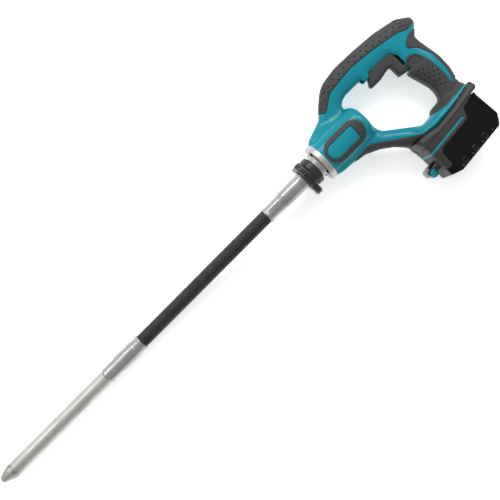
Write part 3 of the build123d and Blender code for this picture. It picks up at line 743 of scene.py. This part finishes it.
def oval(x, y, wide, high, turn):
    """Outline of a turned oval."""
    a = np.arange(44) * 2 * math.pi / 44
    c, s = math.cos(math.radians(turn)), math.sin(math.radians(turn))
    along, across = wide * np.cos(a), high * np.sin(a)
    return np.stack([x + along * c - across * s, y + along * s + across * c], 1)


DIMPLES = grip_dimples()
LINES = [oval(*THUMB), oval(*BOSS), outline(GRIP_SLOT)]
POINTS, TRIS = net(RIM + list(SEAMS.values()) + LINES, DIMPLES)
CENTRES = POINTS[TRIS].mean(axis=1)
ON_HOUSING = side_of(CENTRES, RIM) > 0
SEAM_GAP = gap(POINTS, list(SEAMS.values()))


def dimple_depth(points, spots, radius=1.6, depth=1.4):
    """Depth of round dimples at the points."""
    found = np.sqrt(((points[:, None, :] - np.array(spots)) ** 2).sum(2).min(1))
    return depth * smooth((radius - found) / (radius * 0.6))


def housing_region(pad):
    """Triangles and upper surface of a soft panel, or of the bare housing."""
    taken = np.zeros(len(TRIS), bool)
    for loop in SEAMS.values():
        taken |= inside(CENTRES, loop)
    mask = ON_HOUSING & (inside(CENTRES, SEAMS[pad]) if pad else ~taken)
    tris = TRIS[mask]
    rise = PAD_RISE if pad else 0.0
    proud = rise * smooth(SEAM_GAP / 1.3) - SEAM_DEPTH * (1 - smooth(SEAM_GAP / 0.5))
    proud = proud - 0.4 * groove(gap(POINTS, LINES[1:]), 0.5)
    if pad:
        proud = proud - dimple_depth(POINTS, DIMPLES)
    if pad == "top_grip":
        proud = proud - 1.0 * inside(POINTS, LINES[2]) * smooth(gap(POINTS, LINES[2:]) / 0.8)
    if pad == "palm_grip":
        proud = proud - thumb_dip(POINTS)
    surface = np.zeros((len(POINTS), 3))
    used = np.unique(tris)
    surface[used] = lifted(POINTS[used], grip_height, RIM, proud[used])
    return tris, surface


def trigger_room():
    """Cutters for the room that the trigger moves in."""
    return [
        solid_box(tool_place, (134.2, 26, -10.5), (210, 60, 10.5)),
        solid_box(tool_place, (200.2, 3.7, -10.5), (222, 58, 10.5)),
    ]


BARREL = [
    (0, 0, 0), (0, BARREL_R, 1.2), (BARREL_LENGTH, BARREL_R, BARREL_ROUND), (BARREL_LENGTH, 0, 0),
]
SIDES = (("left", 1), ("right", -1))
for pad in [None, *PADS]:
    tris, surface = housing_region(pad)
    for side, sign in SIDES:
        top = surface * (1, 1, sign)
        under = mirrored(top, PARTING * sign)
        slot = "grip_rubber" if pad else "teal_housing"
        name = f"{pad}_{side}_panel" if pad else f"housing_{side}_shell"
        piece = raised(name, tris, top, under, tool_place, slot, "power_unit")
        if pad is None:
            half = (0.0, math.pi) if sign > 0 else (math.pi, 2 * math.pi)
            barrel = lathe("barrel", BARREL, slot, "power_unit", arc=half)
            carve(piece, trigger_room())
            piece = joined(name, [piece, barrel])
            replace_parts(piece, f"housing_{side}")
        else:
            if pad == "top_grip":
                carve(piece, trigger_room())
            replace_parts(piece, f"{pad}_{side}")


# ---- badge on the barrel
def barrel_height(points):
    """Half thickness of the bare barrel."""
    return np.sqrt(np.maximum(BARREL_R**2 - points[:, 1] ** 2, 0))


def badges():
    """Grey ring with small dimples, and the blank teal plate inside it, on both sides."""
    loops = [outline(BADGE, 1.6), outline(PLATE, 1.6)]
    spots = [(16 + 11.5 * i, y) for i in range(4) for y in (-21.3, 12.8)]
    spots += [(73, -4), (73, -12), (73, 4)]
    points, tris = net(loops, spots, (0.35, 0.8, 1.5, 2.5), 2.6)
    centres = points[tris].mean(axis=1)
    edge = gap(points, loops)
    for part, rise in (("ring", 2.0), ("plate", 1.0)):
        in_plate = inside(centres, loops[1])
        mask = in_plate if part == "plate" else inside(centres, loops[0]) & ~in_plate
        proud = rise * smooth(edge / 1.1 + 0.25) - 0.6 * (1 - smooth(edge / 0.4))
        if part == "ring":
            proud = proud - dimple_depth(points, spots, 1.2, 0.7)
        surface = lifted(points, barrel_height, [], proud)
        base = np.column_stack([points, barrel_height(points) - 1.2])
        slot = "grip_rubber" if part == "ring" else "teal_housing"
        for side, sign in SIDES:
            name = f"badge_{part}_{side}"
            top, low = surface * (1, 1, sign), base * (1, 1, sign)
            piece = raised(name + "_face", tris[mask], top, low, tool_place, slot, "power_unit", 1)
            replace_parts(piece, name)


badges()


# ---- plates with rounded edges
def plate(name, corners, half, radius, place, slot, body):
    """Plate of an outline, rounded over at its edges, on both sides of the middle plane."""
    loops = [outline(corners, 1.6)]
    points, tris = net(loops, (), (0.3, 0.8, 1.6, 2.8, 4.4), 4.0)
    tris = tris[inside(points[tris].mean(axis=1), loops[0])]
    z = half - radius * rounded_off(gap(points, loops), radius)
    top = np.column_stack([points, z])
    return raised(name, tris, top, mirrored(top), place, slot, body)


def trigger():
    """Paddle with its hub round the pin."""
    paddle = plate("trigger_paddle", TRIGGER, TRIGGER_HALF, 5.0, tool_place, "grey_plastic", "trigger")
    corners = [(201, 8, 1), (213, 7.2, 4.6), (217.8, 12, 4.6), (213, 16.8, 4.6), (201, 16, 1)]
    hub = plate("trigger_hub", corners, 8.5, 1.0, tool_place, "grey_plastic", "trigger")
    joined("trigger_paddle", [paddle, hub])
    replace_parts(paddle, "trigger")


trigger()

# ---- battery and its foot
PACK_LOOPS = [outline(PACK)]


def pack_height(points):
    """Half width of the battery: flat sides with rounded edges."""
    radius = 0.8 + 3.7 * smooth((-1 - points[:, 1]) / 8)
    front = 5 * smooth((8 - points[:, 0]) / 18) ** 2
    return BATTERY_HALF - front - radius * rounded_off(gap(points, PACK_LOOPS), radius)


def tick(x):
    """Outline of a thin hook pressed into the case near its lower edge."""
    return [(x, -64, 0.3), (x, -56, 0.6), (x + 7, -56, 0.6), (x + 7, -64, 0.3)]


def paint_case_highlights(piece, ticks, dots):
    """Painted highlights in paler plastic along the hooks and in the small dots on the case's sides.
    """
    centres = np.array([face.center[:] for face in piece.data.polygons]) / MM
    centres = centres - (TOOL_X + PACK_ORIGIN[0], TOOL_Y + PACK_ORIGIN[1], MID_Z)
    c, s = math.cos(BATTERY_TILT), math.sin(BATTERY_TILT)
    x, y = centres[:, 0], centres[:, 1]
    flat = np.stack([x * c + y * s, y * c - x * s], 1)
    on_side = np.abs(centres[:, 2]) > BATTERY_HALF - 8
    far = np.sqrt(((flat[:, None, :] - np.array(dots)) ** 2).sum(2).min(1))
    # painted highlight: grey plastic on faces along the hooks' outlines, pale plastic in the dots
    index = np.where(on_side & (gap(flat, ticks) < 0.4), 1, 0)
    index = np.where(on_side & (far < 1.0), 2, index)
    piece.data.materials.append(LOOKS["grey_plastic"])
    piece.data.materials.append(LOOKS["light_plastic"])
    piece.data.polygons.foreach_set("material_index", index.astype(np.int32))


def battery():
    """Grey cover, teal stripe and black case, each a slice of the same rounded block.

    The case carries the rail, and the cover the rail's front end.
    """
    seams = [outline(corners) for corners in (COVER_REGION, STRIPE, REAR_STRIP, RIDGE)]
    ticks = [outline(tick(18 + 25 * i), 1.0) for i in range(3)]
    dots = [(4 + 13.5 * i, -14) for i in range(5)] + [(13 + 24.5 * i, -63.5) for i in range(4)]
    points, tris = net(PACK_LOOPS + seams + ticks, dots, spacing=6)
    centres = points[tris].mean(axis=1)
    on_pack = inside(centres, PACK_LOOPS[0])
    in_cover, in_stripe = [inside(centres, seam) for seam in seams[:2]]
    masks = {
        "battery_stripe": (in_stripe, "teal_housing"),
        "battery_cover": (in_cover & ~in_stripe, "grey_plastic"),
        "battery_case": (~in_cover & ~in_stripe, "black_plastic"),
    }
    edge = gap(points, seams[:2])
    strip, ridge = [gap(points, [seam]) * inside(points, seam) for seam in seams[2:]]
    relief = 0.9 * smooth(strip / 0.8) - 0.7 * groove(gap(points, ticks), 0.6)
    for node, (region, slot) in masks.items():
        part = tris[on_pack & region]
        proud = -0.7 * (1 - smooth(edge / 0.6)) - dimple_depth(points, dots, 1.1, 0.6)
        if node == "battery_case":
            proud = proud - 1.0 + relief
            proud = np.where(edge < 0.01, -1.5, proud)
        if node == "battery_cover":
            proud = proud - 0.8 * smooth(ridge / 1.0)
        used = np.unique(part)
        top = np.zeros((len(points), 3))
        top[used] = lifted(points[used], pack_height, PACK_LOOPS, proud[used])
        piece = raised(f"{node}_body", part, top, mirrored(top), pack_place, slot, "battery", 6)
        ends = {"battery_case": (0, 100), "battery_cover": (-5.2, -0.2)}.get(node)
        if ends:
            rail = [
                solid_box(pack_place, (ends[0], -4, -15), (ends[1], 3.2, 15)),
                solid_box(pack_place, (ends[0], 2.6, -20.1), (ends[1], 5.6, 20.1)),
            ]
            carve(rail[0], rail[1:], "UNION")
            joined(f"{node}_body", [piece, rail[0]])
        if node == "battery_case":
            paint_case_highlights(piece, ticks, dots)
        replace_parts(piece, node)


def foot():
    """Wide grey foot under the band, with the channel for the battery's rail."""
    rim = outline(FOOT)
    shell = outline(OUTER)
    points, tris = net([rim, shell])
    tris = tris[side_of(points[tris].mean(axis=1), [rim, shell]) > 0]
    front = 1 - np.clip((points[:, 0] - 119) / 11, 0, 1)
    z = BATTERY_HALF * (0.35 + 0.65 * np.sqrt(1 - front**2))
    z = z - 0.8 * rounded_off(gap(points, [rim]), 0.8)
    z = z - 7.5 * rounded_off(gap(points, [shell]), 9.0)
    top = np.column_stack([points, z])
    low = mirrored(top)
    name, slot = "battery_foot_body", "grey_plastic"
    piece = raised(name, tris, top, low, tool_place, slot, "power_unit", 6)
    channel = [
        solid_box(pack_place, (-30, -3, -15.4), (101, 2.3, 15.4)),
        solid_box(pack_place, (-30, 2.2, -20.4), (101, 5.9, 20.4)),
    ]
    carve(piece, channel)
    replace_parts(piece, "battery_foot")


battery()
foot()


def spring(name, start, long, radius, wire, turns, body, sides=8, steps=24):
    """Coil of round wire along the battery's own x direction."""
    verts = []
    count = turns * steps + 1
    for i in range(count):
        a = i * 2 * math.pi / steps
        for k in range(sides):
            b = k * 2 * math.pi / sides
            r = radius + wire * math.cos(b)
            x = wire + (long - 2 * wire) * i / (count - 1) + wire * math.sin(b)
            verts.append((start[0] + x, start[1] + r * math.cos(a), start[2] + r * math.sin(a)))
    faces = ring_faces(count, sides) + end_caps(count, sides)
    return new_piece(name, pack_place(verts), faces, "tool_steel", body)


def latch():
    """Release button at the battery's front, its spring, and the rounded guard over it."""
    button = plate("latch_button_cap", BUTTON, 10, 5.0, pack_place, "teal_housing", "latch")
    stem = solid_box(pack_place, (-13, -41, -2), (-8.5, -37, 2))
    joined("latch_button_cap", [button, stem])
    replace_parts(button, "latch_button")
    coil = spring("latch_spring_coil", (-11.6, -39, 0), 9.4, 5.2, 0.45, 5, "battery")
    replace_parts(coil, "latch_spring")
    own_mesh(coil)
    guard = plate("latch_guard_hood", GUARD, 11, 1.7, pack_place, "light_plastic", "battery")
    guard.data.materials.append(LOOKS["black_plastic"])
    back = pack_place([(-21.5, -27.5, 0)])[0][0]
    for face in guard.data.polygons:
        face.material_index = int(face.center.x > back)
    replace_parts(guard, "latch_guard")


latch()


# ---- drive flange, ring, ferrules
def flange():
    """Cast flange in front of the barrel, with four socket screws sunk in it."""
    corners = [
        (0, 16, 0.4), (0, BARREL_R, 0.8), (-FLANGE_T + 0.5, BARREL_R, 1.8), (-FLANGE_T, 32, 0.8),
        (-FLANGE_T, 22.5, 1.0), (-12, 21, 1.0), (-19, 19.5, 1.0), (-19, 14.6, 0.4),
        (-9, 14.6, 0.3), (-9, 16, 0.3),
    ]
    face = lathe("drive_flange_plate", corners, "cast_aluminium", "power_unit")
    pit = [(-12, 0, 0), (-12, 4.4, 0.2), (-8.6, 4.4, 0.4), (-8.6, 0, 0)]
    carve(face, [at_bolt(i, lathe("pit", pit, "tool_steel", None)) for i in range(4)])
    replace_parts(face, "drive_flange")
    bolt = [
        (-9.8, 0, 0), (-9.8, 1.6, 0.1), (-11.9, 1.9, 0.2), (-12.1, 3.5, 0.7),
        (-8.6, 3.5, 0.2), (-8.6, 0, 0),
    ]
    heads = [lathe("bolt", bolt, "dark_steel", "power_unit", segments=36) for _ in range(4)]
    heads = [at_bolt(i, piece) for i, piece in enumerate(heads)]
    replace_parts(joined("flange_bolt_heads", heads), "flange_bolts")


def at_bolt(i, piece):
    """Moves a piece from the drive axis to one of the four bolts."""
    a = math.pi / 4 + math.pi / 2 * i
    y, z = BOLT_CIRCLE * math.cos(a), BOLT_CIRCLE * math.sin(a)
    piece.data.transform(Matrix.Translation((0, y * MM, z * MM)))
    return piece


def lugged_ring():
    """Black lock ring: three wide lugs on a round body with a groove."""
    corners = [
        (RING_TO, 16.1, 0.5), (RING_TO, 24.5, 1.6), (-31, 24.5, 1.0), (-33, 23, 1.2),
        (-35, 24, 0.8), (RING_FROM, 24, 1.6), (RING_FROM, 16.1, 0.5),
    ]
    body = lathe("lock_ring_body", corners, "black_cast", "lock_ring")
    lugs = []
    for i in range(3):
        a = math.radians(60 + 120 * i)
        lug = []
        for r, spread, rounding in LUG:
            t = a + math.radians(spread)
            lug.append((r * math.cos(t), r * math.sin(t), rounding))
        loops = [outline(lug, 1.4)]
        points, tris = net(loops, (), (0.3, 0.9, 1.8, 3.0), 3.0)
        tris = tris[inside(points[tris].mean(axis=1), loops[0])]
        depth = 5.5 - 2.0 * rounded_off(gap(points, loops), 2.0)
        mid = (RING_FROM - 35) / 2
        top = np.column_stack([mid + depth, points])
        low = np.column_stack([mid - depth, points])
        lugs.append(raised("lug", tris, top, low, tool_place, "black_cast", "lock_ring"))
    ring = joined("lock_ring_body", [body, *lugs])
    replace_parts(ring, "lock_ring")


def ferrules():
    """Steel sleeves at both ends of the hose; gives back the lower one."""
    corners = [
        (-9.2, 8.8, 0.3), (-9.2, 14.4, 0.5), (-19.4, 14.4, 0.2), (-19.4, 15.9, 0.4),
        (-47, 15.9, 0.4), (-47, 18.3, 0.5), (-49, 18.3, 0.5), (-49, 14.5, 0.4), (-92, 14.5, 1.5),
        (-98, 13.2, 3), (-126.5, 13.0, 1), (-128.5, 14.2, 1), (FERRULE_END, 14.2, 1.4),
        (FERRULE_END, 8.8, 0.4),
    ]
    upper = lathe("upper_ferrule_sleeve", corners, "polished_steel", "power_unit")
    carve(upper, [solid_box(tool_place, (-124, -2, s * 12.3), (-101, 4.5, s * 16)) for s in (1, -1)])
    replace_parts(upper, "upper_ferrule")
    corners = [
        (TUBE_FROM, TUBE_R, 0.3), (TUBE_FROM, 13.0, 0.3), (TUBE_FROM + 4, 14.4, 1.2),
        (-446, 14.4, 1.0), (-444, 13.4, 1.0), (-434, 13.4, 1.0), (-432, 14.3, 0.8),
        (HEAD_END, 14.3, 1.5), (HEAD_END, 8.8, 0.4), (-500, 8.8, 0.3), (-500, TUBE_R, 0.3),
    ]
    lower = lathe("lower_ferrule_sleeve", corners, "polished_steel", "head", head_place)
    flats = [
        solid_box(head_place, (-509, -20, -16), (-484, -13.0, 16)),
        solid_box(head_place, (-509, 13.0, -16), (-484, 20, 16)),
    ]
    carve(lower, flats)
    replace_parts(lower, "lower_ferrule")
    return lower


flange()
lugged_ring()
LOWER_FERRULE = ferrules()


# ---- vibrating head
def head():
    """Long steel tube and its nose."""
    corners = [
        (TUBE_TO, 9.5, 0.2), (TUBE_TO, TUBE_R, 0.5), (TUBE_FROM + 0.2, TUBE_R, 0.3),
        (TUBE_FROM + 14, TUBE_R, 0.3), (TUBE_FROM + 14, 9.5, 0.3),
    ]
    tube = lathe("head_tube_skin", corners, "head_steel", "head", head_place, segments=128)
    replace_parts(tube, "head_tube")
    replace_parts(nose(), "nose_cap")


def nose():
    """Blunt cone with six milled grooves; each starts in a deeper notch behind the cone."""
    stops = [TUBE_TO + 10, TUBE_TO + 0.05, TUBE_TO, TUBE_TO - 0.4]
    stops += [TUBE_TO - 1.2 - 0.6 * i for i in range(13)]
    stops += [TUBE_TO - 9.4 - 1.0 * i for i in range(20)]
    stops += [NOSE_TIP + 0.7, NOSE_TIP + 0.3, NOSE_TIP + 0.08, NOSE_TIP, NOSE_TIP]
    radii = [9.4, 9.4, NOSE_R - 0.5, NOSE_R]
    for x in stops[4:-5]:
        radii.append(min(NOSE_R, TIP_R + (NOSE_R - TIP_R) * (x - NOSE_TIP) / CONE_LENGTH))
    radii += [TIP_R, 5.5, 5.0, 4.4, 0.0]
    sides = 288
    turns = np.arange(sides) * 2 * math.pi / sides
    verts = []
    for x, radius in zip(stops, radii):
        away = np.abs((turns - math.radians(44) + math.pi / 6) % (math.pi / 3) - math.pi / 6)
        aside = away * radius
        notch = smooth((TUBE_TO - 0.8 - x) / 0.6) * smooth((x - TUBE_TO + 7.5) / 1.2)
        run = smooth((TUBE_TO - 5 - x) / 2) * smooth((x - NOSE_TIP) / 1.0)
        cut = 2.4 * notch * smooth((2.5 - aside) / 0.6) + 1.2 * run * smooth((1.7 - aside) / 0.5)
        r = np.maximum(radius - cut * (radius > 4.5), 0)
        verts += [(x, ri * math.cos(a), ri * math.sin(a)) for ri, a in zip(r, turns)]
    faces = [tuple(range(sides))] + ring_faces(len(stops), sides)
    return new_piece("nose_cap_tip", head_place(verts), faces, "head_steel", "head")


head()


# ---- hose
def route_line():
    """Even points along the hose's own smooth line, in row metres."""
    curve = bpy.data.curves.new("route", "CURVE")
    curve.dimensions = "3D"
    curve.resolution_u = 64
    spline = curve.splines.new("NURBS")
    spline.points.add(len(HOSE_ROUTE) - 1)
    for point, (x, z) in zip(spline.points, HOSE_ROUTE):
        point.co = (*tool_place([(x, 0, z)])[0], 1)
    spline.order_u = 3
    spline.use_endpoint_u = True
    holder = linked("route", curve)
    line = bpy.data.meshes.new_from_object(holder)
    points = np.array([v.co[:] for v in line.vertices])
    bpy.data.objects.remove(holder)
    run = np.concatenate([[0], np.cumsum(np.linalg.norm(np.diff(points, axis=0), axis=1))])
    even = np.linspace(0, run[-1], 241)
    return np.stack([np.interp(even, run, points[:, k]) for k in range(3)], 1), even


def tube_along(name, radius_at, slot, node, segments=56):
    """Round piece along the hose, its radius given by distance along it and turn round it."""
    line, run = route_line()
    ahead = np.gradient(line, axis=0)
    ahead /= np.linalg.norm(ahead, axis=1)[:, None]
    aside = np.array([0.0, 1.0, 0.0])
    up = np.cross(ahead, aside)
    turns = np.arange(segments) * 2 * math.pi / segments
    verts = []
    for i, centre in enumerate(line):
        for a in turns:
            r = radius_at(run[i] / MM, a) * MM
            verts.append(centre + r * (math.cos(a) * aside + math.sin(a) * up[i]))
    faces = ring_faces(len(line), segments) + end_caps(len(line), segments)
    piece = new_piece(name, verts, faces, slot, None)
    layer = piece.data.uv_layers.new(name="wrap")
    for face in piece.data.polygons:
        closing = len(face.vertices) == 4 and any(v % segments == segments - 1 for v in face.vertices)
        for corner in face.loop_indices:
            ring, turn = divmod(piece.data.loops[corner].vertex_index, segments)
            around = 2 * math.pi if closing and turn == 0 else turns[turn]
            layer.data[corner].uv = (run[ring], around * HOSE_R * MM)
    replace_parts(piece, node)
    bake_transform(piece)
    return piece, line


def wrapped(s, a):
    """Hose radius: the wrap's edge presses a narrow groove round it in a spiral."""
    phase = (s / WRAP_PITCH - a / (2 * math.pi)) % 1.0
    away = min(phase, 1 - phase) * WRAP_PITCH
    return HOSE_R - 0.6 * math.exp(-((away / 0.8) ** 2))


def liner(s, a):
    """Radius of the coiled liner inside the hose."""
    return LINER_R + 0.3 * math.cos(2 * math.pi * s / LINER_PITCH)


HOSE, LINE = tube_along("hose_wrap", wrapped, "hose_rubber", "hose")
tube_along("hose_liner_core", liner, "tool_steel", "hose_liner", 24)
tube_along("flexible_shaft_core", lambda s, a: SHAFT_R, "tool_steel", "flexible_shaft", 20)

# ---- screws and inner parts
SLOT_OF = {row["node"]: row["material_slot"] for row in frame["record"]["subparts"]}
for node, slot_name in SLOT_OF.items():
    shown = bpy.data.objects.get(node)
    if shown and not shown.hide_render:
        shown.data.materials.clear()
        shown.data.materials.append(LOOKS[slot_name])


# ---- floor, light, camera
def stage_set():
    """White paper floor, and a sky that is brighter above and towards +X and +Y."""
    reach = 12.0
    verts = [(-reach, -reach, 0), (reach, -reach, 0), (reach, reach, 0), (-reach, reach, 0)]
    mesh = bpy.data.meshes.new("floor")
    mesh.from_pydata(verts, [], [(0, 1, 2, 3)])
    floor = linked("floor", mesh)
    n = Nodes("floor_paper")
    n.drive("Base Color", n.mix(n.noise(3, 2), srgb("fbfbfb"), srgb("f7f7f7")))
    n.shader.inputs["Roughness"].default_value = 0.95
    n.shader.inputs["Emission Color"].default_value = (1, 1, 1, 1)
    n.shader.inputs["Emission Strength"].default_value = 0.5
    mesh.materials.append(n.material)
    world = bpy.data.worlds.new("studio")
    bpy.context.scene.world = world
    world.use_nodes = True
    tree = world.node_tree
    direction = tree.nodes.new("ShaderNodeTexCoord").outputs["Generated"]
    toward = tree.nodes.new("ShaderNodeVectorMath")
    toward.operation = "DOT_PRODUCT"
    toward.inputs[1].default_value = (0.5, 0.5, 0.7)
    tree.links.new(direction, toward.inputs[0])
    ramp = tree.nodes.new("ShaderNodeMapRange")
    for key, number in (("From Min", -0.2), ("From Max", 0.95), ("To Min", 0.45), ("To Max", 0.62)):
        ramp.inputs[key].default_value = number
    tree.links.new(toward.outputs["Value"], ramp.inputs["Value"])
    sky = tree.nodes["Background"]
    sky.inputs["Color"].default_value = (1, 1, 1, 1)
    tree.links.new(ramp.outputs["Result"], sky.inputs["Strength"])
    bpy.context.scene.view_settings.view_transform = "Standard"


def lamp(name, at, aim, size, power):
    """Rectangular lamp aimed at a point."""
    data = bpy.data.lights.new(name, "AREA")
    data.shape = "RECTANGLE"
    data.size, data.size_y = size
    data.energy = power
    light = linked(name, data)
    light.location = at
    light.rotation_euler = (Vector(aim) - Vector(at)).to_track_quat("-Z", "Y").to_euler()


CAMERA_AT = (-191, -20, 1200)
LENS = 52.05


def camera():
    """Camera straight above, turned so that the tool lies across the view."""
    data = bpy.data.cameras.new("camera")
    data.sensor_width = 36
    data.lens = LENS
    eye = linked("camera", data)
    eye.location = tool_place([CAMERA_AT])[0]
    eye.rotation_euler = (0, 0, math.radians(-45))
    bpy.context.scene.camera = eye


stage_set()
lamp("key", (0.95, 0.95, 1.15), (0.1, 0, 0), (2.2, 0.35), 19)
lamp("side", (-0.8, 1.0, 1.0), (0.0, 0, 0), (1.2, 0.4), 6)
camera()
